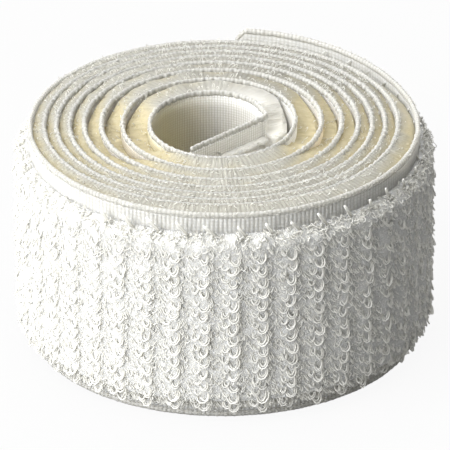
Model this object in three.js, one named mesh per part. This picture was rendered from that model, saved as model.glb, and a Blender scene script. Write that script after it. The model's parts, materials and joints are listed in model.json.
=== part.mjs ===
// A coreless roll of loop tape, wound on itself and standing on one long edge.
// Millimetres, +Z up, winding axis upright. Seen from above the tape runs inwards clockwise.
// The tape is one woven band: a ground cloth, a pile of loops on its outer face between two
// bare margins, and a beaded cord along each edge. Its outer end lifts off the roll at the
// back, and its inner end lies across the bore as a straight flap.
import * as THREE from "three";

// Tape, across its width
const tapeWidth = 25.4;
const clothThickness = 0.4;
const marginWidth = 2.0;
const edgeCordThickness = 0.6;
const edgeCordHeight = 0.7;
const edgeCordLand = 0.44;

// Pile of loops, which stand in columns across the tape
const pileHeight = 1.9;
const pileFlankRun = 0.5;
const pileEndHeight = 0.35;
const columnPitch = 3.0;
const columnCrest = 1.3;
const columnValley = 0.5;
const valleyHeight = 1.25;

// Clearances
const turnClearance = 0.45;
const hingeGap = 0.36;
const flapEndClearance = 0.9;

// Winding, in turns counted inwards from the outer end
const woundTurns = 8;
const lapRadius = 21.2;
const lapPitch = 1.26;
const coreSlack = 4.6;
const coreSlackPower = 4.4;
const outerLapLift = 0.55;
const outerLapEndShares = [0.5, 1.38];
const ovalReach = 0.37;
const ovalLossPerTurn = 0.088;
const sideLean = -0.8;
const sideLeanOfOuterLap = 0.35;
const backLean = -0.4;
const backLeanPerTurn = 0.08;
const backLeanOfOuterLap = -0.3;
const coreSideLean = -0.45;
const tipLift = 1.85;
const tipLiftShares = [0, 0.2];
const startAngle = 87;

// Outer free end, which peels off about an upright line
const outerEndTurnShare = 0.21;
const peelLimit = 60;

// Inner end: a round shoulder, a short cheek, a tight bend and a straight flap
const shoulderRadiusShare = 0.8;
const shoulderHeading = -65;
const cheekLength = 1.6;
const bendRadius = 1.3;
const flapHeading = -137;

// Facets
const facetSagitta = 0.12;
const shoulderSteps = 5;
const bendSteps = 5;
const flapSteps = 2;
const headingNudgeShare = 0.001;
const farAway = 1000;

const degrees = Math.PI / 180;
const fullTurn = 2 * Math.PI;

function smoothStep(value, [from, to]) {
  const share = Math.min(Math.max((value - from) / (to - from), 0), 1);
  return share * share * (3 - 2 * share);
}

// Distance from the winding's centre to the middle of the cloth: an even pitch that opens up
// towards the core, a loose outer lap, and a plan that is a little oval and off centre.
function radiusAt(turns) {
  const angle = startAngle * degrees - turns * fullTurn;
  const outer = 1 - smoothStep(turns, outerLapEndShares);
  const evenPart = lapRadius - lapPitch * turns;
  const oval = (ovalReach - ovalLossPerTurn * turns) * Math.cos(2 * angle);
  const coreShare = (turns / woundTurns) ** coreSlackPower;
  const side = (sideLean + sideLeanOfOuterLap * outer + coreSideLean * coreShare) * Math.cos(angle);
  const back = (backLean + backLeanPerTurn * turns + backLeanOfOuterLap * outer) * Math.sin(angle);
  const tip = tipLift * (1 - smoothStep(turns, tipLiftShares));
  return evenPart - coreSlack * coreShare + outerLapLift * outer + oval + side + back + tip;
}

function spiralPoint(turns) {
  const angle = startAngle * degrees - turns * fullTurn;
  const radius = radiusAt(turns);
  return [radius * Math.cos(angle), radius * Math.sin(angle)];
}

function spiralHeading(turns) {
  const [here, ahead] = [spiralPoint(turns), spiralPoint(turns + headingNudgeShare)];
  return Math.atan2(ahead[1] - here[1], ahead[0] - here[0]);
}

// A station is a place on the middle of the cloth, with the normal that points out of the roll.
const stations = [];

function addStation(x, y, heading) {
  const last = stations.at(-1);
  const along = last ? last.along + Math.hypot(x - last.x, y - last.y) : 0;
  stations.push({ x, y, nx: -Math.sin(heading), ny: Math.cos(heading), along });
}

function facetAngle(radius) {
  return 2 * Math.acos(1 - facetSagitta / radius);
}

function addSpiral() {
  let turns = 0;
  while (turns < woundTurns) {
    addStation(...spiralPoint(turns), spiralHeading(turns));
    turns += facetAngle(radiusAt(turns)) / fullTurn;
  }
}

// An arc that turns clockwise from the last heading to a new one.
function addArc(x, y, fromHeading, toHeading, radius, steps) {
  const centreX = x + radius * Math.sin(fromHeading);
  const centreY = y - radius * Math.cos(fromHeading);
  let heading = fromHeading;
  for (let step = 1; step <= steps; step++) {
    heading = fromHeading + ((toHeading - fromHeading) * step) / steps;
    addStation(centreX - radius * Math.sin(heading), centreY + radius * Math.cos(heading), heading);
  }
}

function addInnerBend() {
  const [x, y] = spiralPoint(woundTurns);
  const heading = spiralHeading(woundTurns);
  addStation(x, y, heading);
  const shoulderRadius = shoulderRadiusShare * radiusAt(woundTurns);
  addArc(x, y, heading, shoulderHeading * degrees, shoulderRadius, shoulderSteps);
  const cheek = stations.at(-1);
  const cheekX = cheek.x + cheekLength * Math.cos(shoulderHeading * degrees);
  const cheekY = cheek.y + cheekLength * Math.sin(shoulderHeading * degrees);
  addStation(cheekX, cheekY, shoulderHeading * degrees);
  const [from, to] = [shoulderHeading * degrees, flapHeading * degrees];
  addArc(cheekX, cheekY, from, to, bendRadius, bendSteps);
}

// Distance along a ray to the nearest wall, where the walls are the inner faces of the cords.
function roomFrom(x, y, dirX, dirY, walls) {
  let nearest = farAway;
  for (let i = 1; i < walls.length; i++) {
    const [a, b] = [walls[i - 1], walls[i]];
    const [edgeX, edgeY] = [b.x - a.x, b.y - a.y];
    const cross = dirX * edgeY - dirY * edgeX;
    if (cross === 0) continue;
    const reach = ((a.x - x) * edgeY - (a.y - y) * edgeX) / cross;
    const share = ((a.x - x) * dirY - (a.y - y) * dirX) / cross;
    if (reach > 0 && share >= 0 && share <= 1) nearest = Math.min(nearest, reach);
  }
  return nearest;
}

function faceLine(offset) {
  return stations.map((s) => ({ x: s.x + s.nx * offset, y: s.y + s.ny * offset }));
}

// The flap runs straight on until its corners come near the wall that it points at.
function addFlap() {
  const start = stations.at(-1);
  const heading = flapHeading * degrees;
  const [dirX, dirY] = [Math.cos(heading), Math.sin(heading)];
  const walls = faceLine(-edgeCordThickness / 2);
  const corners = [-1, 0, 1].map((side) => {
    const offset = (side * edgeCordThickness) / 2;
    return roomFrom(start.x + start.nx * offset, start.y + start.ny * offset, dirX, dirY, walls);
  });
  const length = Math.min(...corners) - flapEndClearance;
  for (let step = 1; step <= flapSteps; step++) {
    const reach = (length * step) / flapSteps;
    addStation(start.x + dirX * reach, start.y + dirY * reach, heading);
  }
}

addSpiral();
addInnerBend();
const flapStart = stations.at(-1).along;
addFlap();
const tapeLength = stations.at(-1).along;

// A place anywhere along the tape lies on the facet between two stations.
function placeAt(along) {
  let i = 1;
  while (i < stations.length - 1 && stations[i].along < along) i++;
  const [a, b] = [stations[i - 1], stations[i]];
  const share = (along - a.along) / (b.along - a.along);
  const mix = (key) => a[key] + (b[key] - a[key]) * share;
  return { x: mix("x"), y: mix("y"), nx: mix("nx"), ny: mix("ny"), along };
}

function alongAtTurns(turns) {
  const [x, y] = spiralPoint(turns);
  const near = stations.reduce((best, s) =>
    Math.hypot(s.x - x, s.y - y) < Math.hypot(best.x - x, best.y - y) ? s : best,
  );
  const ahead = (x - near.x) * near.ny - (y - near.y) * near.nx;
  return near.along + ahead;
}

const hingeAlong = alongAtTurns(outerEndTurnShare);

// Stretches of the tape, as distances from its outer end
const stretches = {
  outer_end: [0, hingeAlong - hingeGap / 2],
  wound: [hingeAlong + hingeGap / 2, flapStart - hingeGap / 2],
  inner_end: [flapStart + hingeGap / 2, tapeLength],
};

function placesBetween([from, to], extra = []) {
  const inside = (along) => along > from + facetSagitta && along < to - facetSagitta;
  const wanted = stations.map((s) => s.along).filter(inside);
  const all = [from, ...wanted, ...extra.filter((along) => along > from && along < to), to];
  return all.sort((a, b) => a - b).map(placeAt);
}

// Height of a free column of loops: a flat valley, a flank, a flat crest and a flank.
const flankRun = (columnPitch - columnCrest - columnValley) / 2;
const columnBreaks = [
  columnValley / 2,
  columnValley / 2 + flankRun,
  columnValley / 2 + flankRun + columnCrest,
  columnPitch - columnValley / 2,
];

function columnHeight(along) {
  const phase = (((along - hingeAlong) % columnPitch) + columnPitch) % columnPitch;
  const fromCrest = Math.abs(phase - columnPitch / 2) - columnCrest / 2;
  const share = Math.min(Math.max(fromCrest / flankRun, 0), 1);
  return pileHeight + (valleyHeight - pileHeight) * share;
}

const wallFaces = faceLine(-edgeCordThickness / 2);

function roomOutside(place) {
  const faceX = place.x + (place.nx * clothThickness) / 2;
  const faceY = place.y + (place.ny * clothThickness) / 2;
  return roomFrom(faceX, faceY, place.nx, place.ny, wallFaces);
}

// Loops stand free where nothing is near, are pressed flat where the next turn lies on them,
// and slope down to each end of their stretch, which leaves room for the end to fold out.
function pileHeightAt(place, [from, to]) {
  const slope = 1 / Math.tan((peelLimit / 2) * degrees);
  const fromEnd = Math.min(place.along - from, to - place.along);
  const ramp = pileEndHeight + fromEnd * slope;
  return Math.min(columnHeight(place.along), roomOutside(place) - turnClearance, ramp);
}

// A closed band: one ring of corners at each place, each corner an [offset, height] pair.
function bandGeometry(places, cornersAt) {
  const rings = places.map((place) =>
    cornersAt(place).map(([offset, z]) => [place.x + place.nx * offset, place.y + place.ny * offset, z]),
  );
  const sides = rings[0].length;
  const triangles = [];
  const at = (ring, side) => ring * sides + (side % sides);
  for (let ring = 1; ring < rings.length; ring++) {
    for (let side = 0; side < sides; side++) {
      triangles.push([at(ring - 1, side), at(ring, side), at(ring - 1, side + 1)]);
      triangles.push([at(ring, side), at(ring, side + 1), at(ring - 1, side + 1)]);
    }
  }
  const last = rings.length - 1;
  for (let side = 2; side < sides; side++) {
    triangles.push([at(0, 0), at(0, side - 1), at(0, side)]);
    triangles.push([at(last, 0), at(last, side), at(last, side - 1)]);
  }
  const geometry = new THREE.BufferGeometry();
  geometry.setAttribute("position", new THREE.Float32BufferAttribute(rings.flat(2), 3));
  geometry.setIndex(triangles.flat());
  geometry.computeVertexNormals();
  return geometry;
}

function clothGeometry(span) {
  const half = clothThickness / 2;
  const [low, high] = [edgeCordHeight, tapeWidth - edgeCordHeight];
  return bandGeometry(placesBetween(span), () => [
    [-half, low],
    [-half, high],
    [half, high],
    [half, low],
  ]);
}

// A cord is as thick as its beads where it joins the cloth and narrows to a flat land.
function edgeCordGeometry(span, clothEdge, freeEdge) {
  const half = edgeCordThickness / 2;
  const land = edgeCordLand / 2;
  const corners = [
    [-half, clothEdge],
    [-land, freeEdge],
    [land, freeEdge],
    [half, clothEdge],
  ];
  return bandGeometry(placesBetween(span), () => (freeEdge > clothEdge ? corners : corners.toReversed()));
}

function pileSpan([from, to]) {
  const inset = hingeGap / 2;
  let [start, end] = [from + inset, to - inset];
  const tooLow = (along) => roomOutside(placeAt(along)) - turnClearance < pileEndHeight;
  while (start < end && tooLow(end)) end -= inset;
  return [start, end];
}

function pileGeometry(stretch) {
  const span = pileSpan(stretch);
  const [from, to] = span;
  const breaks = [];
  const firstColumn = Math.floor((from - hingeAlong) / columnPitch);
  const lastColumn = Math.ceil((to - hingeAlong) / columnPitch);
  for (let column = firstColumn; column < lastColumn; column++) {
    const foot = hingeAlong + column * columnPitch;
    const middle = placeAt(Math.min(Math.max(foot + columnPitch / 2, from), to));
    if (roomOutside(middle) - turnClearance > pileHeight) {
      breaks.push(...columnBreaks.map((offset) => foot + offset));
    }
  }
  const base = clothThickness / 2;
  const [low, high] = [marginWidth, tapeWidth - marginWidth];
  return bandGeometry(placesBetween(span, breaks), (place) => {
    const top = pileHeightAt(place, span);
    const run = (pileFlankRun * top) / pileHeight;
    return [
      [base, low],
      [base, high],
      [base + top, high - run],
      [base + top, low + run],
    ];
  });
}

const clothMaterial = new THREE.MeshStandardMaterial({
  color: "#d9d8cb",
  roughness: 0.75,
  metalness: 0,
  flatShading: true,
});
const pileMaterial = new THREE.MeshStandardMaterial({
  color: "#eceae2",
  roughness: 0.55,
  metalness: 0,
  flatShading: true,
});
const cordMaterial = new THREE.MeshStandardMaterial({
  color: "#f2f2ee",
  roughness: 0.5,
  metalness: 0,
  flatShading: true,
});

function namedMesh(name, geometry, material) {
  const mesh = new THREE.Mesh(geometry, material);
  mesh.name = name;
  return mesh;
}

function tapeStretch(name, span) {
  const stretch = new THREE.Group();
  const upperEdge = [tapeWidth - edgeCordHeight, tapeWidth];
  const lowerEdge = [edgeCordHeight, 0];
  stretch.add(
    namedMesh(name + "_backing", clothGeometry(span), clothMaterial),
    namedMesh(name + "_loop_pile", pileGeometry(span), pileMaterial),
    namedMesh(name + "_upper_edge_cord", edgeCordGeometry(span, ...upperEdge), cordMaterial),
    namedMesh(name + "_lower_edge_cord", edgeCordGeometry(span, ...lowerEdge), cordMaterial),
  );
  return stretch;
}

// Least distance between what faces outwards and the inner faces of the turns round it.
function leastGap(offsetAt, wallOffset) {
  const walls = faceLine(-wallOffset);
  const nearTurn = bendRadius * fullTurn;
  let least = farAway;
  for (const place of stations) {
    const offset = offsetAt(place);
    const [x, y] = [place.x + place.nx * offset, place.y + place.ny * offset];
    for (let i = 1; i < walls.length; i++) {
      if (Math.abs(stations[i].along - place.along) < nearTurn) continue;
      const [a, b] = [walls[i - 1], walls[i]];
      const [edgeX, edgeY] = [b.x - a.x, b.y - a.y];
      const raw = ((x - a.x) * edgeX + (y - a.y) * edgeY) / (edgeX ** 2 + edgeY ** 2);
      const share = Math.min(Math.max(raw, 0), 1);
      least = Math.min(least, Math.hypot(x - a.x - edgeX * share, y - a.y - edgeY * share));
    }
  }
  return least;
}

const wholeTape = [0, tapeLength];
const pileEnd = pileSpan(wholeTape)[1];
const pileOffset = (place) =>
  clothThickness / 2 + (place.along < pileEnd ? pileHeightAt(place, wholeTape) : 0);
const pileGap = leastGap(pileOffset, clothThickness / 2);
const cordGap = leastGap(() => edgeCordThickness / 2, edgeCordThickness / 2);

const roll = new THREE.Group();
for (const [name, span] of Object.entries(stretches)) roll.add(tapeStretch(name, span));

// The origin is on the ground under the middle of the roll's box.
const box = new THREE.Box3().setFromObject(roll);
const centre = box.getCenter(new THREE.Vector3());
roll.position.set(-centre.x, -centre.y, 0);

const part = new THREE.Group();
part.add(roll);

function hingeLine(along, offset) {
  const place = placeAt(along);
  const length = Math.hypot(place.nx, place.ny);
  const x = place.x + (place.nx / length) * offset - centre.x;
  const y = place.y + (place.ny / length) * offset - centre.y;
  return x.toFixed(3) + ", " + y.toFixed(3);
}

const report = {
  "tape length": tapeLength.toFixed(1),
  "least gap, pile to next turn": pileGap.toFixed(3),
  "least gap, cord to next turn": cordGap.toFixed(3),
  "outer hinge line": hingeLine(hingeAlong, edgeCordThickness / 2),
  "inner hinge line": hingeLine(flapStart, -edgeCordThickness / 2),
  "winding centre": (-centre.x).toFixed(3) + ", " + (-centre.y).toFixed(3),
  "box": box.getSize(new THREE.Vector3()).toArray().map((side) => side.toFixed(2)).join(" x "),
};
for (const [name, value] of Object.entries(report)) console.log(name + ": " + value);

export default part;
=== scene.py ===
"""A coreless roll of white loop tape, wound on itself and standing on one long edge.
Metres, +Z up. The tape is followed by three measures, all in millimetres: along it from its
outer end, up its width from the ground, and out from the middle of its cloth."""
import json
import math

import bpy
import numpy as np
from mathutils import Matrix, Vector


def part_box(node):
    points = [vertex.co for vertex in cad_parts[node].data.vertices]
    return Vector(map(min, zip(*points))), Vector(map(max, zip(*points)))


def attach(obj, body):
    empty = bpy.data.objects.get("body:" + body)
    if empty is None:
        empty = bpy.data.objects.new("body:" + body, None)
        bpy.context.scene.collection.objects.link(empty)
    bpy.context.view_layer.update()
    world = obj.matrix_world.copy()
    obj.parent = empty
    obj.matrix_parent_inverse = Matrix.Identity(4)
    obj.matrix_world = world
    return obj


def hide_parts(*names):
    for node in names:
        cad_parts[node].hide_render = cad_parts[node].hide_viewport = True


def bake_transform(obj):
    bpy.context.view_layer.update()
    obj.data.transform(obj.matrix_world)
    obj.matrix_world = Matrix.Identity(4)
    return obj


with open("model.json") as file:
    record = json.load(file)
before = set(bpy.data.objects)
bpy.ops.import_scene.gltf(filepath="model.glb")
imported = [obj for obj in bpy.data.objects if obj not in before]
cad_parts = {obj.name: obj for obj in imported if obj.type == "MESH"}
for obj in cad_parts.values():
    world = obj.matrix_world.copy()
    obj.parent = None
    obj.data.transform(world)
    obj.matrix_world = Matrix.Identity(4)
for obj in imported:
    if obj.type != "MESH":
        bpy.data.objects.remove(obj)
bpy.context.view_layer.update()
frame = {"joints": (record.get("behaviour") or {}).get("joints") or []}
MM = 0.001

# Camera
# At the photograph's angle: straight on, 28.5 degrees above the ground and 0.9 m away.
camera_elevation = math.radians(28.5)
camera_distance = 0.9
camera_aim = (0.0000845, -0.000489, 0.012328)
view_width = 0.05011

camera_data = bpy.data.cameras.new("camera")
camera_data.sensor_width = 36.0
camera_data.lens = camera_data.sensor_width * camera_distance / view_width
camera_data.clip_start = 0.05
camera_data.clip_end = 20.0
camera = bpy.data.objects.new("camera", camera_data)
camera.location = (
    camera_aim[0],
    camera_aim[1] - camera_distance * math.cos(camera_elevation),
    camera_aim[2] + camera_distance * math.sin(camera_elevation),
)
camera.rotation_euler = (math.pi / 2 - camera_elevation, 0, 0)
bpy.context.scene.collection.objects.link(camera)
bpy.context.scene.camera = camera

# Ground cloth
# A dense plain weave of nylon, one inch wide and 0.4 mm thick, wound on itself in eight turns.
# Its plain back faces inwards. The end at the back hangs free, and the inner end is a flap.
tape_width = 25.4
cloth_thickness = 0.4
margin_width = 2.0
cord_height = 0.7
wound_turns = 8
start_angle = math.radians(87)
start_radius = 21.2
turn_pitch = 1.26
core_opening = 4.6
loose_lap = 0.55
tip_lift = 1.85
outer_end_turn_share = 0.21
shoulder_heading = math.radians(-65)
cheek_length = 1.6
bend_radius = 1.3
flap_heading = math.radians(-137)
hinge_inside_bend = 0.3
spare_length = 6.0
path_step = 0.15


def smooth(value, low, high):
    """0 below low and 1 above high, with an s-curve of 3x squared less 2x cubed between."""
    share = np.clip((value - low) / (high - low), 0, 1)
    return share * share * (3 - 2 * share)


def winding_radius(turns):
    """Middle of the cloth from the winding's centre, turns counted inwards from the outer end.
    An even pitch that opens up towards the core by the 4.4th power of the share wound, a loose
    outer lap, a twice-a-turn oval, a once-a-turn lean to one side and to the back, and a free
    end that is lifted off."""
    angle = start_angle - 2 * np.pi * turns
    outer = 1 - smooth(turns, 0.5, 1.38)
    core = (np.clip(turns, 0, wound_turns) / wound_turns) ** 4.4
    oval = (0.37 - 0.088 * turns) * np.cos(2 * angle)
    side = (-0.8 + 0.35 * outer - 0.45 * core) * np.cos(angle)
    back = (-0.4 + 0.08 * turns - 0.3 * outer) * np.sin(angle)
    tip = tip_lift * (1 - smooth(turns, 0, 0.2))
    round_part = start_radius - turn_pitch * turns - core_opening * core + loose_lap * outer
    return round_part + oval + side + back + tip


def arc(start, turn_from, turn_to, radius, steps):
    """A clockwise arc that begins at start with heading turn_from and ends with turn_to."""
    headings = np.linspace(turn_from, turn_to, steps)
    centre = start + radius * np.array([math.sin(turn_from), -math.cos(turn_from)])
    return centre + radius * np.stack([-np.sin(headings), np.cos(headings)], 1)


def straight(start, heading, length, steps):
    """A straight run from start along heading."""
    reach = np.linspace(0, length, steps)[:, None]
    return start + reach * np.array([math.cos(heading), math.sin(heading)])


turns = np.linspace(0, wound_turns, 7000)
winding_angle = start_angle - 2 * np.pi * turns
winding_ray = np.stack([np.cos(winding_angle), np.sin(winding_angle)], 1)
spiral = winding_radius(turns)[:, None] * winding_ray
last_run = spiral[-1] - spiral[-2]
last_heading = math.atan2(last_run[1], last_run[0])
shoulder_radius = 0.8 * winding_radius(wound_turns)
shoulder = arc(spiral[-1], last_heading, shoulder_heading, shoulder_radius, 60)
cheek = straight(shoulder[-1], shoulder_heading, cheek_length, 12)
bend = arc(cheek[-1], shoulder_heading, flap_heading, bend_radius, 40)

# The flap's hinge is just inside the bend's end, which fixes the winding's place in the frame.
joints = {joint["name"]: joint for joint in frame["joints"]}
inner_hinge = np.array(joints["fold_inner_end"]["pos_m"])
flap_normal = np.array([-math.sin(flap_heading), math.cos(flap_heading)])
winding_centre = inner_hinge[:2] / MM - (bend[-1] - hinge_inside_bend * flap_normal)

flap_low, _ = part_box("inner_end_backing")
flap_end_x = flap_low[0] / MM - winding_centre[0] + abs(flap_normal[0]) * cloth_thickness / 2
flap_length = (flap_end_x - bend[-1][0]) / math.cos(flap_heading)
flap = straight(bend[-1], flap_heading, flap_length + spare_length, 60)
first_run = spiral[0] - spiral[1]
first_heading = math.atan2(first_run[1], first_run[0])
tip_spare = straight(spiral[0], first_heading, spare_length, 40)[:0:-1]

path = np.concatenate([tip_spare, spiral, shoulder[1:], cheek[1:], bend[1:], flap[1:]])
path_along = np.concatenate([[0], np.cumsum(np.hypot(*np.diff(path, axis=0).T))])
path_along -= path_along[len(tip_spare)]
spiral_along = path_along[len(tip_spare):][:len(turns)]
end_of_spiral = path_along[len(tip_spare) + len(spiral)]
end_of_bend = path_along[len(path) - len(flap)]
tape_length = end_of_bend + flap_length
outer_end_along = np.interp(outer_end_turn_share, turns, spiral_along)

even_along = np.arange(path_along[0], path_along[-1], path_step)
even_path = np.stack([np.interp(even_along, path_along, path[:, i]) for i in range(2)], 1)
path_heading = np.unwrap(np.arctan2(*np.gradient(even_path, axis=0).T[::-1]))

corner_cut_along = 1.1
corner_cut_down = 1.25


def on_tape(along, up, out):
    """A place by its three measures on the tape: the path's point, moved out along the path's
    normal, which is its heading turned a quarter to the left, and lifted by up. The outer end's
    upper corner is cut at a slant. In metres."""
    along, up, out = np.broadcast_arrays(along, up, out)
    cut = np.clip(1 - along / corner_cut_along, 0, 1)
    up = up * (1 - corner_cut_down / tape_width * cut)
    heading = np.interp(along, even_along, path_heading)
    x = np.interp(along, even_along, even_path[:, 0]) + winding_centre[0] - out * np.sin(heading)
    y = np.interp(along, even_along, even_path[:, 1]) + winding_centre[1] + out * np.cos(heading)
    return np.stack([x, y, up], -1) * MM


def mesh_piece(name, points, faces, surface_map, material):
    """A smooth piece from its points, its faces with the same number of corners in each group,
    and a map with two numbers per point: on a band, millimetres along and up the tape."""
    faces = [np.asarray(group, np.int64) for group in faces if len(group)]
    corners = np.concatenate([group.ravel() for group in faces])
    sizes = np.concatenate([np.full(len(group), group.shape[1]) for group in faces])
    mesh = bpy.data.meshes.new(name)
    mesh.vertices.add(len(points))
    mesh.vertices.foreach_set("co", np.ascontiguousarray(points, np.float32).ravel())
    mesh.loops.add(len(corners))
    mesh.loops.foreach_set("vertex_index", corners.astype(np.int32))
    mesh.polygons.add(len(sizes))
    mesh.polygons.foreach_set("loop_start", (np.cumsum(sizes) - sizes).astype(np.int32))
    mesh.polygons.foreach_set("use_smooth", np.full(len(sizes), True))
    uv = mesh.uv_layers.new(name="tape_map")
    uv.data.foreach_set("uv", np.ascontiguousarray(surface_map[corners], np.float32).ravel())
    mesh.update(calc_edges=True)
    mesh.validate()
    mesh.materials.append(material)
    piece = bpy.data.objects.new(name, mesh)
    bpy.context.scene.collection.objects.link(piece)
    return piece


def ring_faces(rings, sides):
    """Faces of a closed tube of rings, each with so many sides, and a flat end at each."""
    ring, side = np.meshgrid(np.arange(rings - 1), np.arange(sides), indexing="ij")
    after = (side + 1) % sides
    quads = np.stack([ring * sides + side, (ring + 1) * sides + side,
                      (ring + 1) * sides + after, ring * sides + after], -1).reshape(-1, 4)
    first = np.arange(sides)[None, :]
    last = (rings - 1) * sides + np.arange(sides)[::-1][None, :]
    return quads, first, last


def tape_band(name, along, up, out, material):
    """A closed band along the tape. up and out hold one ring of corners for each place along,
    going up the inner face and down the outer one."""
    rings, sides = up.shape
    points = on_tape(along[:, None], up, out).reshape(-1, 3)
    surface_map = np.stack(np.broadcast_arrays(along[:, None], up), -1).reshape(-1, 2)
    return mesh_piece(name, points, ring_faces(rings, sides), surface_map, material)


def colour(code):
    """An sRGB hex code as the linear colour that a shader takes, by the sRGB curve: a power of
    2.4, and a straight line in the darkest part."""
    part = np.array([int(code[i:i + 2], 16) for i in (1, 3, 5)]) / 255
    linear = np.where(part <= 0.04045, part / 12.92, ((part + 0.055) / 1.055) ** 2.4)
    return (*linear, 1.0)


def add(material, kind, settings=None, **inputs):
    """Adds a shader node. settings are its own properties, and inputs its sockets by name, with
    _ for a space, or by number after an n: a value, or the output that feeds the socket. A whole
    node stands for its first output."""
    node = material.node_tree.nodes.new("ShaderNode" + kind)
    for key, value in (settings or {}).items():
        setattr(node, key, value)
    for key, value in inputs.items():
        socket = node.inputs[int(key[1:]) if key[1:].isdigit() else key.replace("_", " ")]
        if isinstance(value, bpy.types.Node):
            value = value.outputs[0]
        if isinstance(value, bpy.types.NodeSocket):
            material.node_tree.links.new(value, socket)
        else:
            socket.default_value = value
    return node


def tape_material(name):
    """An empty material, with the place on the tape as a whole, along the tape and up it."""
    material = bpy.data.materials.new(name)
    material.use_nodes = True
    material.node_tree.nodes.clear()
    place = add(material, "UVMap", {"uv_map": "tape_map"})
    along, up, _ = add(material, "SeparateXYZ", Vector=place).outputs
    return material, place, along, up


colours = {"data_type": "RGBA"}
times = {"operation": "MULTIPLY"}
times_plus = {"operation": "MULTIPLY_ADD"}
minus = {"operation": "SUBTRACT"}
sine = {"operation": "SINE"}
size_of = {"operation": "ABSOLUTE"}

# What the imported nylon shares: its refractive index, and light that spreads up to 1.2 mm inside
# it, red furthest.
milky_inside = {"IOR": 1.53, "Subsurface_Weight": 0.8, "Subsurface_Scale": 0.0012,
                "Subsurface_Radius": (1.0, 0.97, 0.9)}


def ridges(material, place, pitch):
    """A row of rounded ridges, one every pitch: the size of a sine."""
    angle = add(material, "Math", times, n0=place, n1=math.pi / pitch)
    return add(material, "Math", size_of, n0=add(material, "Math", sine, n0=angle))


# Woven nylon, resin-set and half matt, white and milky, so that light soaks through it. A rib of
# weft crosses it every 0.48 mm, and warps tie each rib down every 0.38 mm, so a rib is a row of
# small pillows. Their crowns are painted lighter and the hollows between them darker: painted
# highlight and shade. The inner turns show finer pillows, and their threads are painted whiter, to
# lighten them where they lie in shade. Where cloth lies deep between the turns, and on the bore's
# left wall, a golden tone is painted from just under the upper edge to 6 mm below it, for the
# golden light that soaks down there.
weft_pitch, warp_pitch = 0.48, 0.38
inner_weft_pitch, inner_warp_pitch = 0.33, 0.31
gold_from, gold_full = 24.6, 19.5
woven_nylon, tape_place, along_tape, up_tape = tape_material("woven_nylon")
depth = add(woven_nylon, "MapRange", Value=up_tape, From_Min=gold_from, From_Max=gold_full)
patches = add(woven_nylon, "TexNoise", Vector=tape_place, Scale=0.35, Detail=3.0)
cloth_tone = add(woven_nylon, "Mix", colours, n0=patches, n6=colour("#d9d9d6"), n7=colour("#e1e1df"))


def weave(along_pitch, up_pitch):
    """Height of a weave: the weft's ridges, times 0.35 and 0.75 of the warp's ridges."""
    ribs = ridges(woven_nylon, along_tape, along_pitch)
    ties = ridges(woven_nylon, up_tape, up_pitch)
    tied = add(woven_nylon, "Math", times_plus, n0=ties, n1=0.75, n2=0.35)
    return add(woven_nylon, "Math", times, n0=ribs, n1=tied)


# Four steps from 0 to 1 along the tape, each between two counts of turns: where the outer lap
# ends, where the deep gaps end, and where the bore's left wall begins and ends.
step_turns = [(1.0, 1.2), (6.85, 7.1), (7.45, 7.6), (7.83, 7.97)]
inside, past_gaps, wall_begun, wall_ended = (
    add(woven_nylon, "MapRange", Value=along_tape, From_Min=first, From_Max=last)
    for first, last in np.interp(step_turns, turns, spiral_along)
)
pillow = add(woven_nylon, "Mix", n0=inside, n2=weave(weft_pitch, warp_pitch),
             n3=weave(inner_weft_pitch, inner_warp_pitch))
buried = add(woven_nylon, "Math", minus, n0=inside, n1=past_gaps)
left_wall = add(woven_nylon, "Math", minus, n0=wall_begun, n1=wall_ended)
shaded_depth = add(woven_nylon, "Math", times_plus, n0=depth, n1=0.35, n2=0.65)
painted_wall_light = add(woven_nylon, "Math", times, n0=left_wall, n1=shaded_depth)
# Painted golden light: the deep turns and the bore's left wall take a golden tone below the upper
# edge.
golden = add(woven_nylon, "Math", times_plus, n0=buried, n1=depth, n2=painted_wall_light)


def by_depth(outer, inner, deep):
    """A thread's colour: its outer-lap tone, its tone inside the outer lap, painted whiter to
    lighten it in shade, and its painted golden light deep down.
    """
    towards_core = add(woven_nylon, "Mix", colours, n0=inside, n6=outer, n7=colour(inner))
    return add(woven_nylon, "Mix", colours,
               n0=golden, n6=towards_core.outputs[2], n7=colour(deep)).outputs[2]


# Painted highlight and shade: the pillows' crowns take the light tones and their hollows the dark
# ones.
thread_tone_and_painted_light = add(woven_nylon, "Mix", colours, n0=pillow,
                  n6=by_depth(colour("#bfbeb8"), "#c8c5ba", "#edd08e"),
                  n7=by_depth(cloth_tone.outputs[2], "#fffffd", "#fff5c2"))
thread_bump = add(woven_nylon, "Bump", Strength=0.6, Distance=0.00008, Height=pillow)
cloth_shader = add(woven_nylon, "BsdfPrincipled", Base_Color=thread_tone_and_painted_light.outputs[2],
                   Roughness=0.5, Normal=thread_bump, **milky_inside)
soaked_tone = add(woven_nylon, "Mix", colours, n0=buried, n6=colour("#f4f3ee"), n7=colour("#ffeec4"))
soaked = add(woven_nylon, "BsdfTranslucent", Color=soaked_tone.outputs[2])
milky = add(woven_nylon, "MixShader", n0=0.3, n1=cloth_shader, n2=soaked)
add(woven_nylon, "OutputMaterial", Surface=milky)

rib_height = 0.06
outer_lap_length = 168.0
cloth_step = 0.45
thirds = (8, 17)


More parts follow.
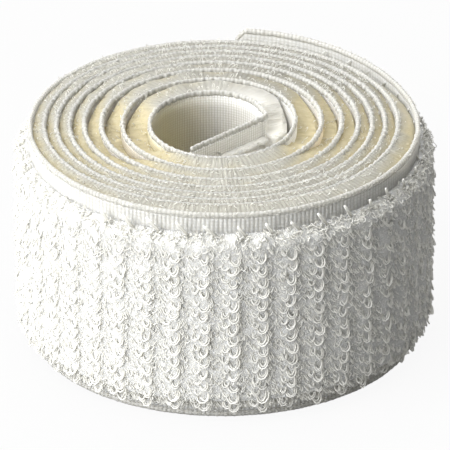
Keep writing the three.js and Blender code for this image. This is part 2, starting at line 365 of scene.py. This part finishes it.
def cloth_band(name, start, end):
    """The cloth between two places along the tape: a flat inner face, and an outer face whose
    bare margins carry weft ribs, each a rounded ridge as the size of a sine. Between the turns,
    where no rib shows, it is flat."""
    fine = np.arange(start, min(end, outer_lap_length), weft_pitch / 6)
    coarse = np.arange(max(start, outer_lap_length), end, cloth_step)
    along = np.concatenate([fine, coarse, [end]])
    low, high = cord_height, tape_width - cord_height
    rows_up = np.array([low, margin_width, *thirds, tape_width - margin_width, high])
    ribbed = np.array([low, low + 0.25, margin_width - 0.1, margin_width, *thirds])
    rows_down = np.concatenate([tape_width - ribbed, ribbed[3::-1]])
    ring = np.concatenate([rows_up, rows_down])
    up = np.broadcast_to(ring, (len(along), len(ring)))
    ridge = rib_height * np.abs(np.sin(np.pi * along / weft_pitch))[:, None] - rib_height
    in_margin = np.minimum(rows_down, tape_width - rows_down) < margin_width - 0.05
    outer_face = cloth_thickness / 2 + ridge * in_margin * (along[:, None] < outer_lap_length)
    inner_face = np.full((len(along), len(rows_up)), -cloth_thickness / 2)
    return tape_band(name, along, up, np.concatenate([inner_face, outer_face], 1), woven_nylon)


wound_cloth = cloth_band("wound_ground_cloth", outer_end_along, end_of_bend)
outer_end_cloth = cloth_band("outer_end_ground_cloth", 0, outer_end_along)
inner_end_cloth = cloth_band("inner_end_ground_cloth", end_of_bend, tape_length)

pieces_of = {"wound": [], "outer_end": [], "inner_end": []}


def fix(piece, stretch, slot, *nodes):
    """Puts a piece with its stretch of the tape, under the wound roll's body or with its place baked
    in, and hides the solids of that stretch that it stands for.
    """
    pieces_of[stretch].append(piece)
    if stretch == "wound":
        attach(piece, "wound_roll")
    elif stretch == "outer_end":
        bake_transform(piece)
    else:
        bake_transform(piece)
    if nodes:
        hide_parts(*(f"{stretch}_{node}" for node in nodes))


fix(wound_cloth, "wound", "ground_cloth", "backing")
fix(outer_end_cloth, "outer_end", "ground_cloth", "backing")
fix(inner_end_cloth, "inner_end", "ground_cloth", "backing")

# Edge cords
# The selvedges: where each weft thread turns round the outermost warps it makes a bead, so both
# long edges of the tape are a row of small hard white beads.
cord_middle = 0.37
cord_half_height = 0.36
cord_half_width = 0.27

# Hard-packed nylon turns, milky like the cloth: the beads' crowns are painted lighter, as a painted
# highlight, and the grooves between them grey, as painted shade. Their fibres, about 0.03 mm
# apart, are drawn three times as coarse, so that they show.
fibre_pitch = 0.09
selvedge_nylon, _, along_tape, _ = tape_material("selvedge_nylon")
bead = ridges(selvedge_nylon, along_tape, weft_pitch)
# Painted highlight and shade: lighter on each bead's crown, darker in its grooves.
bead_painted_light = add(selvedge_nylon, "Mix", colours, n0=bead, n6=colour("#9a9993"), n7=colour("#c0bfbb"))
fibre_angle = add(selvedge_nylon, "Math", times, n0=along_tape, n1=2 * math.pi / fibre_pitch)
fibre = add(selvedge_nylon, "Math", sine, n0=fibre_angle)
fibre_bump = add(selvedge_nylon, "Bump", Strength=0.3, Distance=0.00002, Height=fibre)
cord_shader = add(selvedge_nylon, "BsdfPrincipled", Base_Color=bead_painted_light.outputs[2],
                  Roughness=0.5, Normal=fibre_bump, **milky_inside)
soaked = add(selvedge_nylon, "BsdfTranslucent", Color=colour("#f4f3ee"))
milky = add(selvedge_nylon, "MixShader", n0=0.3, n1=cord_shader, n2=soaked)
add(selvedge_nylon, "OutputMaterial", Surface=milky)


def edge_cord(name, start, end, upper, steps, sides):
    """A beaded cord along one edge: an oval ring whose size goes with the size of a sine along
    the tape, so that round beads meet in narrow grooves, each bead a little slanted. The cord
    wanders by the sum of three sines, less on the outer lap, and is slimmer near the core."""
    along = np.arange(start, end, weft_pitch / steps)
    along = np.append(along[along < end - 0.02], end)
    side = np.linspace(0, 2 * np.pi, sides, endpoint=False)[None, :]
    place = along[:, None]
    slant = 0.12 * np.cos(side)
    bead_size = np.abs(np.sin(np.pi * (place / weft_pitch + slant))) ** 0.7
    bead_size *= 0.8 + 0.2 * np.cos(np.pi * place / weft_pitch - 1.6)
    size = 0.9 + 0.16 * bead_size
    crimp = 0.05 * np.sin(2 * np.pi * place / 1.05) + 0.04 * np.sin(2 * np.pi * place / 0.83)
    inner_lap = smooth(place, outer_lap_length - 18, outer_lap_length + 2)
    wander = crimp * (0.25 + 0.75 * inner_lap) + 0.02 * np.sin(place / 0.61)
    slim = 1 - 0.22 * smooth(place, tape_length - 150, tape_length - 80)
    middle = tape_width - cord_middle if upper else cord_middle
    up = np.clip(middle + cord_half_height * size * np.sin(side), 0, tape_width)
    out = wander - cord_half_width * size * slim * np.cos(side)
    return tape_band(name, along, up, out, selvedge_nylon)


for stretch, start, end in (("wound", outer_end_along, end_of_bend),
                            ("outer_end", 0, outer_end_along),
                            ("inner_end", end_of_bend, tape_length)):
    upper_cord = edge_cord(f"{stretch}_upper_selvedge", start, end, True, 6, 8)
    lower_cord = edge_cord(f"{stretch}_lower_selvedge", start, end, False, 5, 6)
    fix(upper_cord, stretch, "edge_cord", "upper_edge_cord")
    fix(lower_cord, stretch, "edge_cord", "lower_edge_cord")

# Pile
# Soft loops of nylon filament on the outer face, between the bare margins. Their tangled feet
# make a dense bed, which is squeezed between the turns and pressed up almost to the edge there.
pile_height = 1.9
column_pitch = 3.0
clearance = 0.08
widest_gap = 2.8

# The gap over the cloth: on the outer lap the free pile's height, then up to the next turn out,
# and 1.8 mm less than the widest gap where the bend ends.
turn_of = np.interp(even_along, spiral_along, turns)
lap_gap = winding_radius(np.maximum(turn_of - 1, 0)) - winding_radius(turn_of) - cloth_thickness
lap_gap = np.where(turn_of < 1.0, pile_height + clearance, lap_gap)
bend_room = widest_gap - 1.8 * smooth(even_along, end_of_bend - 1.8, end_of_bend)
lap_gap = np.minimum(lap_gap, bend_room)


def room(along):
    """Height that the pile has under the next turn: the gap less a clearance. On the outer lap
    it is the free height."""
    return np.interp(along, even_along, lap_gap) - clearance


def column_share(along):
    """1 on the crest of a column of loops and 0 in the valley between two, by a cosine."""
    return 0.5 + 0.5 * np.cos(2 * np.pi * along / column_pitch)


# Tangled nylon, dull because its filaments lie all ways. In the open it is white, with grey
# painted into the creases between its curls and a little into the valleys between the columns,
# as painted shade. Between the turns a darker golden tone is painted where it is sunk, for the
# shade and golden light down there, and it is greyer where it comes up level with the edges. Past
# the end of the spiral it is painted one flat pale tone, to lighten it where it lies in shade.
# Real curls are 0.1 to 0.2 mm across. They are drawn at 0.36 mm, so that they show.
curls_per_mm = 2.8
matted_nylon, tape_place, along_tape, up_tape = tape_material("matted_nylon_loops")
tangle = add(matted_nylon, "TexNoise", Vector=tape_place, Scale=2.6, Detail=4.0, Roughness=0.7)
twisted = add(matted_nylon, "TexNoise", Vector=tape_place, Scale=2.2, Detail=1.0, Distortion=1.2)
twisted_place = add(matted_nylon, "VectorMath", n0=tape_place, n1=twisted.outputs["Color"])
curls = add(matted_nylon, "TexVoronoi", {"feature": "DISTANCE_TO_EDGE"},
            Vector=twisted_place, Scale=curls_per_mm)
column_angle = add(matted_nylon, "Math", times, n0=along_tape, n1=2 * math.pi / column_pitch)
column_wave = add(matted_nylon, "Math", {"operation": "COSINE"}, n0=column_angle)
# Painted shade: the bed is a little darker in the valleys between the columns and grey in the
# creases between curls.
painted_valley_shade = add(matted_nylon, "Math", times, n0=column_wave, n1=0.15)
curl_and_valley_shade = add(matted_nylon, "Math", times_plus, n0=curls, n1=3.5, n2=painted_valley_shade)
free_tone = add(matted_nylon, "Mix", colours,
                n0=curl_and_valley_shade, n6=colour("#bfbfbc"), n7=colour("#e0e0dd"))
# Painted golden light and shade: the bed sunk between the turns is a darker golden.
painted_sunk_light = add(matted_nylon, "Mix", colours, n0=tangle, n6=colour("#a0946f"), n7=colour("#cec4a3"))
level_tone = add(matted_nylon, "Mix", colours, n0=ridges(matted_nylon, along_tape, weft_pitch),
                 n6=colour("#8d8b82"), n7=colour("#a09e94"))
level = add(matted_nylon, "MapRange", Value=up_tape, From_Min=24.7, From_Max=25.2)
pressed_tone = add(matted_nylon, "Mix", colours,
                   n0=level, n6=painted_sunk_light.outputs[2], n7=level_tone.outputs[2])
pressed = add(matted_nylon, "MapRange", Value=along_tape,
              From_Min=outer_lap_length - 28, From_Max=outer_lap_length - 3)
wound_tone = add(matted_nylon, "Mix", colours,
                 n0=pressed, n6=free_tone.outputs[2], n7=pressed_tone.outputs[2])
# Painted light: past the spiral's end the bed is one flat pale tone, to lighten it where it lies in
# shade.
freed_painted_light = add(matted_nylon, "MapRange", Value=along_tape,
            From_Min=end_of_spiral - 4, From_Max=end_of_spiral + 4)
bed_tone = add(matted_nylon, "Mix", colours,
               n0=freed_painted_light, n6=wound_tone.outputs[2], n7=colour("#dddbd3"))
bed_bump = add(matted_nylon, "Bump", Strength=0.9, Distance=0.0003, Height=curls)
bed_shader = add(matted_nylon, "BsdfPrincipled", Base_Color=bed_tone.outputs[2],
                 Roughness=0.7, Normal=bed_bump, **milky_inside)
add(matted_nylon, "OutputMaterial", Surface=bed_shader)

lump_size = 0.7
lump_columns, lump_rows = 1200, 40
rng = np.random.default_rng(7)
bed_lumps = rng.uniform(-1, 1, (lump_columns, lump_rows))


def lumpy(along, up):
    """Soft random lumps from -1 to 1, about 0.7 mm across, by bilinear steps between draws."""
    column = np.mod(along / lump_size, lump_columns - 1)
    row = np.clip(up / lump_size, 0, lump_rows - 1.1)
    c, r = column.astype(int), row.astype(int)
    u, v = column - c, row - r
    low = bed_lumps[c, r] * (1 - u) + bed_lumps[c + 1, r] * u
    high = bed_lumps[c, r + 1] * (1 - u) + bed_lumps[c + 1, r + 1] * u
    return low * (1 - v) + high * v


def covered(along):
    """0 where the pile is free and 1 where the next turn lies on it, with an s-curve over the
    last 38 mm of the outer lap."""
    return smooth(along, outer_lap_length - 38, outer_lap_length)


# Where the winding begins to loosen towards its core, and where it is fully loose.
loosening = (230, 290)


def top_of_bed(along):
    """The bed's upper limit: just under the margin where it is free. Where it is covered, the
    next turn drives it up to 2.4 mm higher, nearly to the edge. It stays lower on the left and
    right of the roll, where the winding is loose, by the square of a cosine of twice the angle,
    and lower still in the wide gaps near the core."""
    free_top = tape_width - margin_width - 0.45
    around = start_angle - 2 * np.pi * np.interp(along, even_along, turn_of)
    loose = (0.5 + 0.5 * np.cos(2 * (around - 0.12 + 0.23 * np.cos(around)))) ** 2
    slack = np.clip(room(along) - 0.85, 0, 1) * smooth(along, *loosening)
    sunk = 0.6 * loose + 1.2 * slack * (0.15 + 0.85 * loose)
    heap = np.minimum(2.45 - sunk + 0.2 * lumpy(along * 0.6, 11.0), 2.4)
    before_bend = 1 - smooth(along, end_of_bend - 4, end_of_bend - 1)
    return free_top + covered(along) * before_bend * heap


def bed_height(along, up):
    """Height of the tangled bed: more on the crest of a column than in a valley, with random
    lumps, rounded down to the cloth at both margins by a square root. Under the next turn it
    fills the gap, and its top is nearly square."""
    inward = np.minimum(up - margin_width, top_of_bed(along) - up)
    free = 1.4 + 0.1 * column_share(along) + 0.10 * lumpy(along, up)
    free = free + 1.6 * smooth(along, outer_lap_length - 30, outer_lap_length + 2)
    rounding = 0.9 - 0.78 * covered(along) * (up > tape_width / 2)
    squeezed = smooth(along, outer_lap_length + 2, outer_lap_length + 8)
    squeezed = squeezed * (1 - smooth(along, end_of_spiral - 10, end_of_spiral))
    tight = room(along) - 0.05 + 0.09 * squeezed
    return np.minimum(free, tight) * np.sqrt(np.clip(inward / rounding, 0, 1))


bed_step = 0.25
covered_bed_step = 0.6
shoulder_width = 1.2
lift_width = 2.4
lip_height = 0.4


def pile_bed(name, start, end):
    """The tangled feet of the loops: a band on the outer face, as high as bed_height gives. Its
    upper rows are lifted with its upper limit, and where it is covered its top slopes up by a
    lip to its own cloth, but stays 0.15 mm below the tape's edge."""
    fine = np.arange(start, min(end, outer_lap_length), bed_step)
    coarse = np.arange(max(start, outer_lap_length), end, covered_bed_step)
    along = np.concatenate([fine, coarse, [end]])
    low, high = margin_width, tape_width - margin_width
    rows = np.concatenate([
        np.linspace(low, low + shoulder_width, 5)[:-1],
        np.linspace(low + shoulder_width, high - shoulder_width, 46),
        high - np.array([0.8, 0.35, 0.06, 0]),
    ])
    grid_along, grid_up = np.meshgrid(along, rows[::-1], indexing="ij")
    raised = top_of_bed(along)[:, None] - high
    grid_up = grid_up + raised * np.clip((grid_up - high + lift_width) / lift_width, 0, 1)
    height = bed_height(grid_along, grid_up)
    lip = np.clip(tape_width - 0.15 - high - raised, 0, lip_height) * smooth(raised, 0, 1)
    grid_up[:, :1] += lip
    base = np.full((len(along), 2), cloth_thickness / 2 - 0.02)
    rows_up = np.concatenate([np.full_like(raised, low), high + raised + lip], 1)
    up = np.concatenate([rows_up, grid_up], 1)
    out = np.concatenate([base, cloth_thickness / 2 + np.maximum(height, 0)], 1)
    return tape_band(name, along, up, out, matted_nylon)


for stretch, start, end in (("wound", outer_end_along, end_of_bend - 0.4),
                            ("outer_end", 0.3, outer_end_along),
                            ("inner_end", end_of_bend, tape_length - 0.5)):
    bed = pile_bed(f"{stretch}_pile_bed", start, end)
    fix(bed, stretch, "loop_pile", "loop_pile")

# Loops
# Each loop is a bundle of a few shiny nylon filaments, woven into the cloth at both feet. They
# hang over like small U shapes down the middle of each column, and lower twisted ones, with many
# single strays, fill the valleys between the columns.
row_pitch = 1.43
strand_steps = 8
strand_sides = 4
narrow_foot = math.radians(50)

# Drawn nylon filament: smooth, shiny and clear enough that light comes through. Its crest is
# painted white and its legs grey, as a painted highlight on the crest of a loop and painted shade
# towards its feet. Each filament is 0.03 mm in fact. It is drawn two to eight times as thick, so
# that it shows, and stands for those that lie beside it.
drawn_nylon, _, strand_share, strand_place = tape_material("drawn_nylon_filament")
half_turn = add(drawn_nylon, "Math", times, n0=strand_place, n1=math.pi)
rise_share = add(drawn_nylon, "Math", sine, n0=half_turn)
crest = add(drawn_nylon, "Math", {"operation": "POWER"}, n0=rise_share, n1=2.0)
brightness = add(drawn_nylon, "Math", times_plus, n0=strand_share, n1=0.5, n2=0.5)
# Painted highlight and shade: white at a loop's crest, grey towards its feet.
painted_crest_highlight = add(drawn_nylon, "Math", times, n0=crest, n1=brightness)
strand_tone = add(drawn_nylon, "Mix", colours,
                  n0=painted_crest_highlight, n6=colour("#d0cfc9"), n7=colour("#f3f3f1"))
strand_shader = add(drawn_nylon, "BsdfPrincipled",
                    Base_Color=strand_tone.outputs[2], Roughness=0.36, IOR=1.53)
lit_through = add(drawn_nylon, "BsdfTranslucent", Color=colour("#f6f5f0"))
clear_strand = add(drawn_nylon, "MixShader", n0=0.42, n1=strand_shader, n2=lit_through)
add(drawn_nylon, "OutputMaterial", Surface=clear_strand)


def loops(name, spots, seed, sunk=1.0):
    """Bundles of filament loops. Each row of spots is a loop's place along and up the tape, its
    half width, length, downward lean, sideways lean, twist, droop, count and radius. A
    filament follows an oval from foot to foot, open below, leaned over and drooping with the
    square of its rise, the second one inside the first. Each is a thin tube of four sides.
    sunk is the share of the bed's height at which a filament has its foot. On a filament the
    map holds its own random share and its place from foot to foot."""
    draw = np.random.default_rng(seed)
    strands = spots[:, 8].astype(int)
    spots = np.repeat(spots, strands, axis=0)
    inner = np.concatenate([np.arange(of) for of in strands])[:, None]
    count = len(spots)
    along, up, half, length, lean, tilt, twist, droop, _, radius = spots.T[:, :, None]
    half = half * (1.08 - 0.36 * inner) * draw.uniform(0.93, 1.05, (count, 1))
    length = length * (1.06 - 0.2 * inner) * draw.uniform(0.96, 1.04, (count, 1))
    lean = lean + draw.normal(0, 0.04, (count, 1))
    tilt = tilt + draw.normal(0, 0.05, (count, 1))
    twist = twist + draw.normal(0, 0.06, (count, 1))
    fan_along = draw.normal(0, 0.03, (count, 1))
    fan_up = draw.normal(0, 0.04, (count, 1))

    phase = np.linspace(-narrow_foot, math.pi + narrow_foot, strand_steps)[None, :]
    across = half * np.cos(phase)
    rise = length * (math.sin(narrow_foot) + np.sin(phase)) / (1 + math.sin(narrow_foot))
    share = rise / length
    at_along = along + across * np.cos(twist) + rise * np.sin(tilt) + fan_along * share
    at_up = up + across * np.sin(twist) - rise * np.sin(lean) - droop * share**2 + fan_up * share
    foot = sunk * np.maximum(bed_height(along, up) - 0.15, 0)
    height = foot + rise * np.cos(lean) * np.cos(tilt) - 0.25 * droop * share**2
    height = np.minimum(height, room(along) + 0.02)
    centre = on_tape(at_along, at_up, cloth_thickness / 2 + height)

    heading = np.interp(along, even_along, path_heading)
    flat = -np.sin(twist)
    plane = (flat * np.cos(heading), flat * np.sin(heading), np.cos(twist))
    plane = np.stack(np.broadcast_arrays(*plane), -1)
    run = np.gradient(centre, axis=1)
    run /= np.linalg.norm(run, axis=2, keepdims=True) + 1e-12
    side = np.cross(run, plane)
    side /= np.linalg.norm(side, axis=2, keepdims=True) + 1e-12
    plane = np.cross(side, run)
    corner = -np.arange(strand_sides)[None, None, :, None] * 2 * math.pi / strand_sides
    radius = radius[:, :, None, None] * MM
    tube = (centre[:, :, None, :] + radius * np.cos(corner) * plane[:, :, None, :]
            + radius * np.sin(corner) * side[:, :, None, :])

    quads, first, last = ring_faces(strand_steps, strand_sides)
    shift = (np.arange(count) * strand_steps * strand_sides)[:, None, None]
    groups = [(group[None] + shift).reshape(-1, group.shape[1]) for group in (quads, first, last)]
    tone = draw.uniform(0, 1, (count, 1, 1)) + np.zeros((1, strand_steps, strand_sides))
    place = np.linspace(0, 1, strand_steps)[None, :, None] + np.zeros((count, 1, strand_sides))
    surface_map = np.stack([tone, place], -1).reshape(-1, 2)
    return mesh_piece(name, tube.reshape(-1, 3), groups, surface_map, drawn_nylon)


strays_per_cell = 11

# Along the tape: the roll's front, where the loops are neat, has a soft start and end. The
# thrown strands grow longer round its right side, and on its left side there are none.
neat_start, neat_end = (40, 56), (84, 100)
strands_grow = (36, 48)
bare_start, bare_end = 82, 118


def loop_spots(start, end, rows, seed):
    """Places and shapes of the loops between two places along the tape: eight kinds to each row
    of a column, neatest on the front of the roll. Single strays lie over them, half of them
    drawn to the valleys and a sixth to the upper shoulder, where they stand up. One long strand
    is thrown up over the upper margin from each column. The flap has only the loops. Places are
    even or bell-curve steps off the rows and columns, wider where the loops are less neat."""
    draw = np.random.default_rng(seed)
    first = math.ceil(start / column_pitch - 0.5)
    last = math.ceil(end / column_pitch + 0.5)
    kinds = np.array([
        # along, drop, half width, length, lean, sideways, twist, droop, filaments, radius, disorder
        [0.42, 0.0, 0.36, 0.80, 1.20, 0.1, 0.15, 0.05, 2, 0.09, 0.8],
        [-0.30, 0.35, 0.50, 1.10, 1.18, 0.0, -0.10, 0.08, 2, 0.10, 0.8],
        [1.25, 0.1, 0.22, 0.80, 1.10, -0.6, 0.5, 0.05, 1, 0.065, 1.6],
        [-1.25, 0.25, 0.28, 0.60, 1.10, 0.5, -0.6, 0.05, 1, 0.06, 1.6],
        [0.95, 0.85, 0.24, 0.60, 1.10, -0.4, 0.5, 0.05, 1, 0.06, 2.0],
        [-0.75, -0.45, 0.12, 0.90, 1.20, -0.4, 0.1, 0.05, 1, 0.08, 1.0],
        [-0.95, 0.95, 0.26, 0.55, 1.10, 0.3, -0.5, 0.05, 1, 0.06, 2.0],
        [-1.35, 0.20, 0.12, 0.75, 1.20, -0.5, 0.1, 0.05, 1, 0.075, 1.2],
    ])
    cells = np.meshgrid(np.arange(first, last), rows, np.arange(len(kinds)), indexing="ij")
    column, row, kind = [axis.ravel() for axis in cells]
    shape = kinds[kind]
    count = len(shape)
    middle = column * column_pitch
    neat = smooth(middle, *neat_start) * (1 - smooth(middle, *neat_end))
    disorder = shape[:, 10] * (1.6 - neat)
    scatter = draw.normal(0, 0.09, count) * disorder
    spots = np.stack([
        middle + shape[:, 0] + scatter + draw.uniform(-0.9, 0.9, count) * (1 - neat),
        row - shape[:, 1] + draw.normal(0, 0.10, count) * disorder,
        shape[:, 2] * draw.uniform(0.85, 1.15, count) * (0.85 + 0.15 * neat),
        shape[:, 3] * draw.uniform(0.85, 1.1, count) * (0.85 + 0.15 * neat),
        shape[:, 4] + draw.normal(0, 0.10, count) * disorder,
        shape[:, 5] + draw.normal(0, 0.14, count) * disorder,
        shape[:, 6] + draw.normal(0, 0.3, count) * disorder,
        shape[:, 7] * draw.uniform(0.6, 1.4, count),
        shape[:, 8],
        shape[:, 9],
    ], 1)

    stray = strays_per_cell * len(rows) * (last - first)
    stray_along = draw.uniform(start, end, stray)
    valley = (np.floor(stray_along / column_pitch) + 0.5) * column_pitch
    valley += draw.uniform(-0.65, 0.65, stray)
    stray_along[::2] = valley[::2]
    stray_up = draw.uniform(rows.min() - 0.8, 22.9, stray)
    stray_up[1::6] = draw.uniform(22.0, 22.95, len(stray_up[1::6]))
    stand_up = smooth(stray_up, 21.7, 22.6)
    strays = np.stack([
        stray_along,
        stray_up,
        draw.uniform(0.10, 0.26, stray),
        draw.uniform(0.30, 0.65, stray),
        draw.uniform(0.95, 1.35, stray) - draw.uniform(0.5, 2.4, stray) * stand_up,
        draw.normal(0, 0.5, stray),
        draw.uniform(-1.3, 1.3, stray),
        np.full(stray, 0.04),
        np.ones(stray),
        draw.uniform(0.04, 0.065, stray),
    ], 1)

    # The columns are those that loops takes for a spot.
    thrown = np.tile([0, 22.7, 0.10, 2.0, -1.2, 0.65, 0, 0, 1, 0.12], (last - first, 1))
    thrown[:, 0] = np.arange(first, last) * column_pitch - 1.6 + draw.normal(0, 0.1, len(thrown))
    thrown[:, 5] += draw.normal(0, 0.12, len(thrown))
    grown = 0.55 + 0.45 * smooth(thrown[:, 0], *strands_grow)
    thrown[:, 3] *= draw.uniform(0.7, 1.05, len(thrown)) * grown
    thrown = thrown[(thrown[:, 0] < bare_start) | (thrown[:, 0] > bare_end)]
    if start < end_of_bend:
        spots = np.concatenate([spots, strays, thrown])
    return spots[(spots[:, 0] > start) & (spots[:, 0] <= end)]


top_row, row_limit = 22.75, 2.6
all_rows = np.arange(top_row, row_limit, -row_pitch)
lap_parts = 7
lap_breaks = np.linspace(outer_end_along, outer_lap_length, lap_parts + 1)
for part in range(lap_parts):
    spots = loop_spots(lap_breaks[part], lap_breaks[part + 1], all_rows, 20 + part)
    fix(loops(f"outer_lap_loops_{part + 1}", spots, 40 + part), "wound", "loop_pile")
spots = loop_spots(0.4, outer_end_along, all_rows, 30)
fix(loops("outer_end_loops", spots, 50), "outer_end", "loop_pile")
spots = loop_spots(end_of_bend, tape_length - 0.6, all_rows, 31)
fix(loops("inner_end_loops", spots, 51), "inner_end", "loop_pile")

# Single fibres
# Thin filaments that have come loose: fluff on top of the pile between the turns, and short
# fibres at both edges of the tape, which have been handled. They soften the outline.
fibre_radius = 0.03
fluff_spacing = 0.5
upper_fibre_spacing, lower_fibre_spacing = 0.3, 0.6
jitter = 0.15
inner_fibre_share = 0.3


def fibre_spots(draw, along, up, half, length, lean, tilt):
    """Spots of single fibres at given places. Half width, length and lean are drawn evenly from
    a range each, and the sideways lean and the twist from bell curves."""
    count = len(along)
    return np.stack([
        along,
        up,
        draw.uniform(*half, count),
        draw.uniform(*length, count),
        draw.uniform(*lean, count),
        draw.normal(0, tilt, count),
        draw.normal(0, 0.6, count),
        np.zeros(count),
        np.ones(count),
        np.full(count, fibre_radius),
    ], 1)


fluff_parts = 2
fluff_breaks = np.linspace(outer_lap_length, end_of_spiral, fluff_parts + 1)
for part in range(fluff_parts):
    draw = np.random.default_rng(32 + part)
    place = np.arange(fluff_breaks[part], fluff_breaks[part + 1], fluff_spacing)
    place += draw.uniform(-jitter, jitter, len(place))
    up = top_of_bed(place) - draw.uniform(-0.05, 0.25, len(place))
    spots = fibre_spots(draw, place, up, (0.08, 0.25), (0.25, 0.6), (-0.8, -0.1), 0.4)
    sunk = draw.uniform(0.0, 1.0, (len(place), 1)) ** 1.5
    fix(loops(f"inner_lap_loops_{part + 1}", spots, 52 + part, sunk), "wound", "loop_pile")

draw = np.random.default_rng(60)
for stretch, start, end in (("wound", outer_end_along, end_of_bend - 12),
                            ("outer_end", 0.8, outer_end_along)):
    place = np.arange(start, end, upper_fibre_spacing)
    kept = draw.uniform(0, 1, len(place)) < inner_fibre_share
    place = place[(place < outer_lap_length) | kept]
    place = place + draw.uniform(-jitter, jitter, len(place))
    up = draw.uniform(24.6, 25.2, len(place))
    spots = fibre_spots(draw, place, up, (0.04, 0.12), (0.15, 0.4), (-1.5, -0.9), 0.7)
    fix(loops(f"{stretch}_edge_fibres", spots, 61), stretch, "edge_cord")

for stretch, start, end in (("wound", outer_end_along, outer_lap_length - 30),
                            ("outer_end", 0.8, outer_end_along)):
    place = np.arange(start, end, lower_fibre_spacing)
    place = place + draw.uniform(-jitter, jitter, len(place))
    up = draw.uniform(0.25, 1.4, len(place))
    spots = fibre_spots(draw, place, up, (0.04, 0.12), (0.15, 0.35), (-0.3, 0.5), 0.7)
    fix(loops(f"{stretch}_lower_fibres", spots, 62), stretch, "edge_cord")

# Floor and light
# A plain floor, grey for the light that it throws back and white for the eye, and pale light
# from all round. A broad lamp stands at the left, near the ground, and two more are higher up.
floor_reach = 3.0
floor_whiteness = 0.93
lamp_aim = np.array([0, 0, 0.012])
larger = {"operation": "MAXIMUM"}


def seen(painted):
    """Empties the nodes of a paint or a world, and adds 1 for rays that see it, straight, in a
    shine or through something clear, and 0 for rays that only gather its light."""
    painted.use_nodes = True
    painted.node_tree.nodes.clear()
    rays = add(painted, "LightPath").outputs
    beyond = add(painted, "Math", larger, n0=rays["Is Glossy Ray"], n1=rays["Is Transmission Ray"])
    return add(painted, "Math", larger, n0=rays["Is Camera Ray"], n1=beyond)


floor_paint = bpy.data.materials.new("floor_paint")
whitened = add(floor_paint, "Math", times, n0=seen(floor_paint), n1=floor_whiteness)
matt = add(floor_paint, "BsdfDiffuse", Color=colour("#aaaaaa"))
glow = add(floor_paint, "Emission", Color=(1, 1, 1, 1), Strength=1.0)
painted_floor = add(floor_paint, "MixShader", n0=whitened, n1=matt, n2=glow)
add(floor_paint, "OutputMaterial", Surface=painted_floor)
corners = [(-floor_reach, -floor_reach, 0), (floor_reach, -floor_reach, 0),
           (floor_reach, floor_reach, 0), (-floor_reach, floor_reach, 0)]
floor_mesh = bpy.data.meshes.new("floor")
floor_mesh.from_pydata(corners, [], [(0, 1, 2, 3)])
floor_mesh.materials.append(floor_paint)
floor = bpy.data.objects.new("floor", floor_mesh)
bpy.context.scene.collection.objects.link(floor)

world = bpy.data.worlds.new("studio")
bpy.context.scene.world = world
seen_world = seen(world)
plain = add(world, "Background", Color=(1, 1, 1, 1), Strength=0.05)
white = add(world, "Background", Color=(1, 1, 1, 1), Strength=1.0)
add(world, "OutputWorld", Surface=add(world, "MixShader", n0=seen_world, n1=plain, n2=white))


def lamp(name, place, size, power):
    """A square lamp that faces the roll."""
    data = bpy.data.lights.new(name, "AREA")
    data.size = size
    data.energy = power
    lamp_object = bpy.data.objects.new(name, data)
    lamp_object.location = place
    direction = lamp_aim - np.array(place)
    yaw = math.atan2(direction[1], direction[0]) - math.pi / 2
    pitch = math.atan2(math.hypot(direction[0], direction[1]), -direction[2])
    lamp_object.rotation_euler = (pitch, 0, yaw)
    bpy.context.scene.collection.objects.link(lamp_object)


lamp("key_lamp", (-0.67, -0.49, 0.19), 0.85, 20.7)
lamp("high_lamp", (-0.55, -0.25, 0.72), 0.4, 3.4)
lamp("top_lamp", (-0.08, 0.08, 0.70), 0.8, 7.5)

bpy.context.scene.view_settings.view_transform = "Standard"
